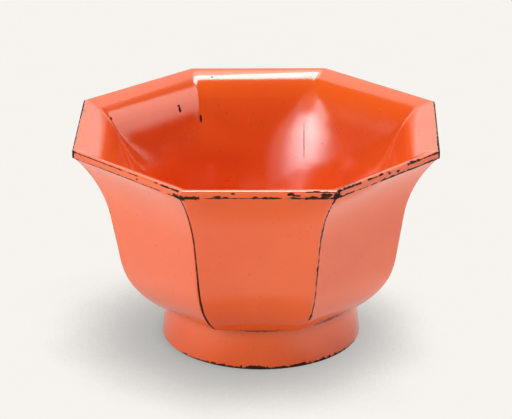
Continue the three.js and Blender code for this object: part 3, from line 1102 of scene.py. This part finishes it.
# %% Wear and painted shade of the foot
# Height of the worn edge in millimetres, by the turn in degrees at which it begins.
FOOT_LINE = ((-180, 0.4), (-110, 0.1), (-75, 0.12), (-51, 0.36), (-32.2, 0.60), (-19, 0.44), (-13, 0.90),
             (6.9, 0.60), (12.6, 0.80), (50, 0.6), (62, 0.4), (70, 0.2), (100, 0.4), (180, 0.4))
# Painted shade: the foot is a little darker at its top, under the body, by this much and down to this
# distance.
TOP_SHADE = 0.12
TOP_SHADE_REACH = 4.0 * MM


def foot_wear_and_shade(tree, position):
    find = use_group(tree, arris_finder, {"Position": position})
    height = width_over(tree, find["Turn"], DEGREE, FOOT_LINE, held=True)
    edge = line_mask(tree, position, find["Height"], height, ragged=1.6, kept=1.0)
    from_body = calc(tree, "SUBTRACT", FOOT_HEIGHT, find["Height"])
    shade = calc(tree, "MULTIPLY", ramp(tree, from_body, TOP_SHADE_REACH, 0.0), TOP_SHADE)
    # The worn standing edge, with painted shade at the foot's top and in the corner above it.
    return strongest(tree, edge, junction_shade(tree, position, from_body), shade)


foot_red = lacquer_material("red_lacquer_foot", foot_wear_and_shade)
print("material", foot_red.name, "nodes", len(foot_red.node_tree.nodes))

# %% The foot's coat
FOOT_SHIFT = Vector((0.8 * MM, 0, 0))
FOOT_BASE = 28.95 * MM
FOOT_EDGE = 0.4 * MM
FOOT_STEPS = 24
FOOT_CURVE = 1.6
# The coat ends this high above the table, drawn in by as much, and goes this far up
# past the underside of the body.
COAT_END = 0.12 * MM
COAT_OVERLAP = 0.1 * MM


def plain_round(reach, height, turn):
    """The foot is round all the way, so the radius of its arrises has no effect."""
    return 0.0, 1.0 * MM


def off_centre(place, turn, reach):
    """The foot was joined a little to the right of the bowl's axis."""
    return place + FOOT_SHIFT


def foot_reach(height):
    share = min(height / FOOT_HEIGHT, 1.0)
    return FOOT_BASE + (FOOT_TOP - FOOT_BASE) * (1 - (1 - share) ** FOOT_CURVE)


def foot_coat():
    high = FOOT_HEIGHT + COAT_OVERLAP
    heights = [FOOT_EDGE + (high - FOOT_EDGE) * step / FOOT_STEPS for step in range(FOOT_STEPS + 1)]
    face = [Vector((FOOT_BASE - COAT_END, COAT_END))]
    face += [Vector((foot_reach(height), height)) for height in heights]
    back = [Vector((place.x - COAT, place.y)) for place in reversed(face)]
    return spin_section("foot_lacquer_coat", face + back, True, plain_round, off_centre)


foot = finish_piece(foot_coat(), foot_red, "red_lacquer", "foot_lacquer")

# %% [markdown]
# ## Black lacquer, wood and cloth
#
# The ring under the foot and the recess are black lacquer. The wood and the cloth
# are inside the coats and don't show, but they are finished too, for whoever takes
# the cup apart. Image textures would do for them. Noise stretched along Z gives the
# grain of the staves without one, and two sines of height and turn give the weave.

# %% Black lacquer
BLACK_THIN = (0.035, 0.022, 0.016, 1.0)
BLACK_DULLNESS = 0.25
BLACK_SWING = 0.25
BRUSH_STRENGTH = 0.4
BRUSH_HEIGHT = 0.2 * MM


def black_material():
    material, tree, shader, position = start_material("black_lacquer_ground")
    polish = use_group(tree, hand_polish, {"Position": position})
    colour = blend_colour(tree, polish["Rubbing"], GROUND, BLACK_THIN)
    dullness = calc(tree, "MULTIPLY_ADD", polish["Rubbing"], BLACK_SWING, BLACK_DULLNESS)
    tree.links.new(colour, shader.inputs["Base Color"])
    tree.links.new(dullness, shader.inputs["Roughness"])
    bump_surface(tree, shader, polish["Height"], BRUSH_STRENGTH, BRUSH_HEIGHT)
    return material


black = black_material()
print("material", black.name, "nodes", len(black.node_tree.nodes))

# %% The ring in the foot's coat
FOOT_BORE = 23.8 * MM
# The ring lies behind its coat with these gaps at its top and its base.
RING_GAP = 0.2 * MM
BASE_GAP = 0.3 * MM
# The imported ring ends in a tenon. This one leaves the tenon out, and ends this far
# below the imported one's top.
TENON = 1.1 * MM
# Under the end of the coat the ring comes out again, to this far inside the foot's
# base and this high above the table. It stands on a flat that begins further in.
EDGE_IN = 0.2 * MM
EDGE_RISE = 0.09 * MM
STAND_IN = 0.4 * MM


def foot_body():
    ring_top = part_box("foot_ring")[1][2] - TENON
    top_reach = FOOT_TOP - COAT - RING_GAP
    base_reach = FOOT_BASE - COAT - BASE_GAP
    inner_wall = [Vector((FOOT_BORE, FOOT_EDGE)), Vector((FOOT_BORE, ring_top))]
    outer_wall = [Vector((top_reach, ring_top)), Vector((top_reach, FOOT_HEIGHT)),
                  Vector((base_reach, FOOT_EDGE))]
    standing_edge = [Vector((base_reach, COAT_END)), Vector((FOOT_BASE - EDGE_IN, EDGE_RISE)),
                     Vector((FOOT_BASE - STAND_IN, 0)), Vector((FOOT_BORE + STAND_IN, 0))]
    section = inner_wall + outer_wall + standing_edge
    return spin_section("foot_ring_body", section, True, plain_round, off_centre)


foot_ring = finish_piece(foot_body(), black, "black_lacquer", "foot_ring")

# %% Wood
WOOD_DARK = (0.42, 0.24, 0.10, 1.0)
WOOD_PALE = (0.56, 0.36, 0.17, 1.0)
GRAIN_STRETCH = (1.0, 1.0, 0.08)
GRAIN_NOISE = (420.0, 4.0, 0.6)
GRAIN_FADE = (0.3, 0.7)
WOOD_DULLNESS = 0.6
WOOD_SWING = 0.2
GRAIN_STRENGTH = 0.5
GRAIN_HEIGHT = 0.1 * MM


def wood_material():
    material, tree, shader, position = start_material("core_wood")
    stretched = add_node(tree, "ShaderNodeMapping", {"Vector": position, "Scale": GRAIN_STRETCH})
    grain = noise(tree, stretched.outputs["Vector"], *GRAIN_NOISE)
    colour = blend_colour(tree, ramp(tree, grain, *GRAIN_FADE), WOOD_DARK, WOOD_PALE)
    tree.links.new(colour, shader.inputs["Base Color"])
    tree.links.new(calc(tree, "MULTIPLY_ADD", grain, WOOD_SWING, WOOD_DULLNESS), shader.inputs["Roughness"])
    bump_surface(tree, shader, grain, GRAIN_STRENGTH, GRAIN_HEIGHT)
    return material


wood = wood_material()
print("material", wood.name, "nodes", len(wood.node_tree.nodes))

# %% Cloth
THREAD_DARK = (0.05, 0.028, 0.014, 1.0)
THREAD_PALE = (0.16, 0.095, 0.045, 1.0)
# A thread that goes over and the next one that goes under fill this width, which is
# measured at this reach for the upright threads.
THREAD_PAIR = 0.9 * MM
CLOTH_REACH = 46 * MM
CLOTH_DULLNESS = 0.8
WEAVE_STRENGTH = 0.6
WEAVE_HEIGHT = 0.15 * MM


def cloth_material():
    material, tree, shader, position = start_material("hemp_cloth")
    find = use_group(tree, arris_finder, {"Position": position})
    wave = 2 * math.pi / THREAD_PAIR
    weft = calc(tree, "SINE", calc(tree, "MULTIPLY", find["Height"], wave))
    warp = calc(tree, "SINE", calc(tree, "MULTIPLY", find["Turn"], wave * CLOTH_REACH))
    weave = calc(tree, "MULTIPLY_ADD", calc(tree, "MULTIPLY", weft, warp), 0.5, 0.5)
    tree.links.new(blend_colour(tree, weave, THREAD_DARK, THREAD_PALE), shader.inputs["Base Color"])
    shader.inputs["Roughness"].default_value = CLOTH_DULLNESS
    bump_surface(tree, shader, weave, WEAVE_STRENGTH, WEAVE_HEIGHT)
    return material


cloth = cloth_material()
print("material", cloth.name, "nodes", len(cloth.node_tree.nodes))

# %% The wood and the cloth put on
WOODEN = ("wall_stave", "rim_strip", "base_block")
for name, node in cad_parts.items():
    if name.startswith(WOODEN):
        node.material_slots[0].material = wood
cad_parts["outer_cloth"].material_slots[0].material = cloth
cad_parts["underside_lacquer"].material_slots[0].material = black
inner_cloth = finish_piece(bowl_cloth(), cloth, "hemp_cloth", "inner_cloth")
print("wooden nodes", sum(name.startswith(WOODEN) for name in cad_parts))

# %% [markdown]
# ## The floor
#
# The photograph's ground is one pale sheet with a soft shadow on it. A wide floor in
# that colour stands for it. The shadow could be left to the lights, but those are set
# for what the lacquer mirrors. So the floor works out its own shadow, from how much
# of the open sky the cup hides from each point of it.

# %% The shadow on the floor
# The light that the cup hides comes from a little off upright. It is looked for this
# far, along this many rays.
SHADOW_LEAN = (0.10, 0.09, 1.0)
SHADOW_REACH = 0.12
SHADOW_RAYS = 16
# The shadow ends at this distance from the axis, and fades out over the last part.
SHADOW_RING = 0.105
SHADOW_FADE = 0.03
# How bright the floor is for each share of open sky over it.
SHADOW_STOPS = ((0.0, 0.05), (0.2, 0.24), (0.30, 0.40), (0.35, 0.48), (0.39, 0.515), (0.47, 0.55),
                (0.51, 0.59), (0.55, 0.635), (0.585, 0.69), (0.62, 0.78), (0.655, 0.90), (0.685, 1.0),
                (1.0, 1.0))


def floor_shadow(tree):
    """How bright the floor is beside the cup, from how much of the sky the cup hides."""
    lean = add_node(tree, "ShaderNodeCombineXYZ", dict(zip("XYZ", SHADOW_LEAN)))
    inputs = {"Distance": SHADOW_REACH, "Normal": lean.outputs[0]}
    open_sky = add_node(tree, "ShaderNodeAmbientOcclusion", inputs, samples=SHADOW_RAYS).outputs["AO"]
    return amount_over(tree, open_sky, SHADOW_STOPS)


print("stops of the shadow", len(SHADOW_STOPS), "rays", SHADOW_RAYS)

# %% The paper
PAPER_COLOUR = (0.92, 0.895, 0.855, 1.0)
PALER = 1.01
PAPER_NOISE = (40.0, 2.0, 0.5)
PAPER_DULLNESS = 0.9
PAPER_SHINE = 0.1
# In front of the cup the floor is darker to the cup than to the camera: places, the
# radii in millimetres between which that ends, and what is left of the brightness.
SHADED_FLOOR = (((0.0, -38.0, 0.0), (14, 34), 0.5), ((0.0, -98.0, 0.0), (40, 80), 0.75),
                ((0.0, -188.0, 0.0), (32, 66), 0.42))


def mix_shaders(tree, share, first, second):
    inputs = {"Fac": share, 1: first, 2: second}
    return add_node(tree, "ShaderNodeMixShader", inputs).outputs[0]


def glowing_paper(tree, position, colour):
    """The floor as the camera sees it, lit evenly but for the cup's shadow."""
    plain = add_node(tree, "ShaderNodeEmission", {"Color": colour, "Strength": 1.0}).outputs[0]
    inputs = {"Color": colour, "Strength": floor_shadow(tree)}
    shaded = add_node(tree, "ShaderNodeEmission", inputs).outputs[0]
    away = vector_calc(tree, "LENGTH", position, output="Value")
    return mix_shaders(tree, ramp(tree, away, SHADOW_RING, SHADOW_RING - SHADOW_FADE), plain, shaded)


def mirrored_share(tree, position):
    """How much of the floor's brightness the cup mirrors."""
    mirrored = 1.0
    for place, (near, far), left in SHADED_FLOOR:
        off = vector_calc(tree, "DISTANCE", position, [v * MM for v in place], output="Value")
        out = ramp(tree, off, near * MM, far * MM)
        mirrored = calc(tree, "MULTIPLY", mirrored, calc(tree, "MULTIPLY_ADD", out, 1 - left, left))
    return mirrored


def paper_material():
    material, tree, shader, position = start_material("floor_paper")
    paler = tuple(min(v * PALER, 1.0) for v in PAPER_COLOUR[:3]) + (1.0,)
    colour = blend_colour(tree, noise(tree, position, *PAPER_NOISE), PAPER_COLOUR, paler)
    tree.links.new(colour, shader.inputs["Base Color"])
    shader.inputs["Roughness"].default_value = PAPER_DULLNESS
    shader.inputs["Specular IOR Level"].default_value = PAPER_SHINE
    rays = add_node(tree, "ShaderNodeLightPath").outputs
    seen = glowing_paper(tree, position, colour)
    dimming = {"Fac": mirrored_share(tree, position), 2: seen}
    dimmed = add_node(tree, "ShaderNodeMixShader", dimming).outputs[0]
    seen = mix_shaders(tree, rays["Is Glossy Ray"], seen, dimmed)
    looking = strongest(tree, rays["Is Camera Ray"], rays["Is Glossy Ray"], rays["Is Transmission Ray"])
    both = mix_shaders(tree, looking, shader.outputs[0], seen)
    tree.links.new(both, tree.nodes["Material Output"].inputs["Surface"])
    return material


paper = paper_material()
print("material", paper.name, "nodes", len(paper.node_tree.nodes))

# %% The floor
FLOOR_HALF = 4.0


def make_floor():
    shape = bmesh.new()
    bmesh.ops.create_grid(shape, x_segments=2, y_segments=2, size=FLOOR_HALF)
    mesh = bpy.data.meshes.new("floor")
    shape.to_mesh(mesh)
    shape.free()
    floor = bpy.data.objects.new("floor", mesh)
    scene.collection.objects.link(floor)
    mesh.materials.append(paper)
    return floor


floor = make_floor()
print("floor", [round(v, 3) for v in floor.dimensions])

# %% [markdown]
# ## The light
#
# Polished lacquer mirrors the room that it stands in, so the studio is a large part
# of how it looks. Each bright place could be a lamp, but a lamp is mirrored with hard
# edges and in one tone. Only the softbox high up behind the cup is one. The others
# are patches in the world round it, which have soft edges and may change from bottom
# to top: a pale backdrop, panels at the right and low down, and a flash at the front
# left.

# %% The softbox
SOFTBOX_AZIMUTH = math.radians(135)
SOFTBOX_ELEVATION = math.radians(73.3)
SOFTBOX_DISTANCE = 1.2
SOFTBOX_SIZE = (0.77, 0.37)
SOFTBOX_POWER = 6.6
LIGHT_AIM = Vector((0, 0, 50 * MM))


def make_softbox():
    """A wide soft lamp above and behind the cup, whose long side runs along X."""
    data = bpy.data.lights.new("overhead_softbox", "AREA")
    data.shape = "RECTANGLE"
    data.size, data.size_y = SOFTBOX_SIZE
    data.energy = SOFTBOX_POWER
    lamp = bpy.data.objects.new("overhead_softbox", data)
    away = direction(SOFTBOX_AZIMUTH, SOFTBOX_ELEVATION)
    along_x = Vector((1, 0, 0))
    sideways = (along_x - away * along_x.dot(away)).normalized()
    lamp.location = LIGHT_AIM + away * SOFTBOX_DISTANCE
    lamp.rotation_euler = Matrix((sideways, away.cross(sideways), away)).transposed().to_euler()
    scene.collection.objects.link(lamp)
    return lamp


softbox = make_softbox()
print("softbox", [round(v, 3) for v in softbox.location], "power", SOFTBOX_POWER)

# %% The studio's patches of light
# The studio round the cup, as soft-edged patches of light in a dark room. Each row is
# azimuths and the width of their edge, elevations and the width of theirs, in degrees,
# the radiance at the bottom and at the top, and the colour. The flash is a little cool.
DARK = 0.03
WARM = (1.0, 0.985, 0.96)
COOL = (0.80, 0.93, 1.0)
STUDIO = {
    "backdrop": ((131, 232), 5, (-4, 76), 5, 1.0, 1.2, WARM),
    "overhead glow": ((120, 230), 12, (58, 92), 12, 1.8, 1.8, WARM),
    "right panel": ((82, 108.5), 4, (19, 53), 5, 1.4, 2.2, WARM),
    "low panel": ((50, 130), 8, (-6, 7), 6, 2.3, 2.3, WARM),
    "low left": ((-125, -60), 20, (-6, 7), 6, 1.2, 1.2, WARM),
    "front fill": ((-60, 50), 20, (-6, 8), 6, 1.0, 1.0, WARM),
    "flash": ((-60, -31), 29, (8, 41), 14, 3.0, 6.8, COOL),
    "flash halo": ((-82, -50), 6, (22, 41), 12, 2.2, 2.2, COOL),
    "flash glow": ((-78, -10), 12, (4, 56), 20, 0.6, 0.6, COOL)}


def within(tree, value, low, high, edge, whole_turn=False):
    """1 between low and high, in degrees, and 0 outside them."""
    off = calc(tree, "SUBTRACT", value, math.radians((low + high) / 2))
    if whole_turn:
        off = calc(tree, "WRAP", off, math.pi, -math.pi)
    half = (high - low) / 2
    ends = (math.radians(half + edge / 2), math.radians(half - edge / 2))
    return ramp(tree, calc(tree, "ABSOLUTE", off), *ends)


def patch_light(tree, azimuth, elevation, row):
    """The light of one patch of the studio, as a colour."""
    azimuths, side_edge, elevations, edge, at_bottom, at_top, colour = row
    share = ramp_share(tree, elevation, *[math.radians(angle) for angle in elevations])
    radiance = calc(tree, "MULTIPLY_ADD", share, at_top - at_bottom, at_bottom)
    here = calc(tree, "MULTIPLY", within(tree, azimuth, *azimuths, side_edge, True),
                within(tree, elevation, *elevations, edge))
    inputs = {0: colour, "Scale": calc(tree, "MULTIPLY", here, radiance)}
    return add_node(tree, "ShaderNodeVectorMath", inputs, operation="SCALE").outputs[0]


print("patches of light", ", ".join(STUDIO))

# %% The world


def make_world():
    world = bpy.data.worlds.new("studio")
    world.use_nodes = True
    scene.world = world
    tree = world.node_tree
    sight = add_node(tree, "ShaderNodeTexCoord").outputs["Generated"]
    part = add_node(tree, "ShaderNodeSeparateXYZ", {"Vector": sight}).outputs
    azimuth = calc(tree, "ARCTAN2", part["X"], calc(tree, "MULTIPLY", part["Y"], -1.0))
    elevation = calc(tree, "ARCSINE", part["Z"])
    light = [DARK * channel for channel in WARM]
    for row in STUDIO.values():
        light = vector_calc(tree, "ADD", light, patch_light(tree, azimuth, elevation, row))
    seen = add_node(tree, "ShaderNodeLightPath").outputs["Is Camera Ray"]
    colour = blend_colour(tree, seen, light, PAPER_COLOUR)
    tree.links.new(colour, tree.nodes["Background"].inputs["Color"])
    return world


studio = make_world()
print("world", studio.name, "nodes", len(studio.node_tree.nodes))

# %% [markdown]
# ## The end
#
# The finished pieces are counted, with their faces.

# %% The end
pieces = [outer, bowl, rim, foot, foot_ring, inner_cloth]
print("pieces", len(pieces), "faces", sum(len(piece.data.polygons) for piece in pieces))
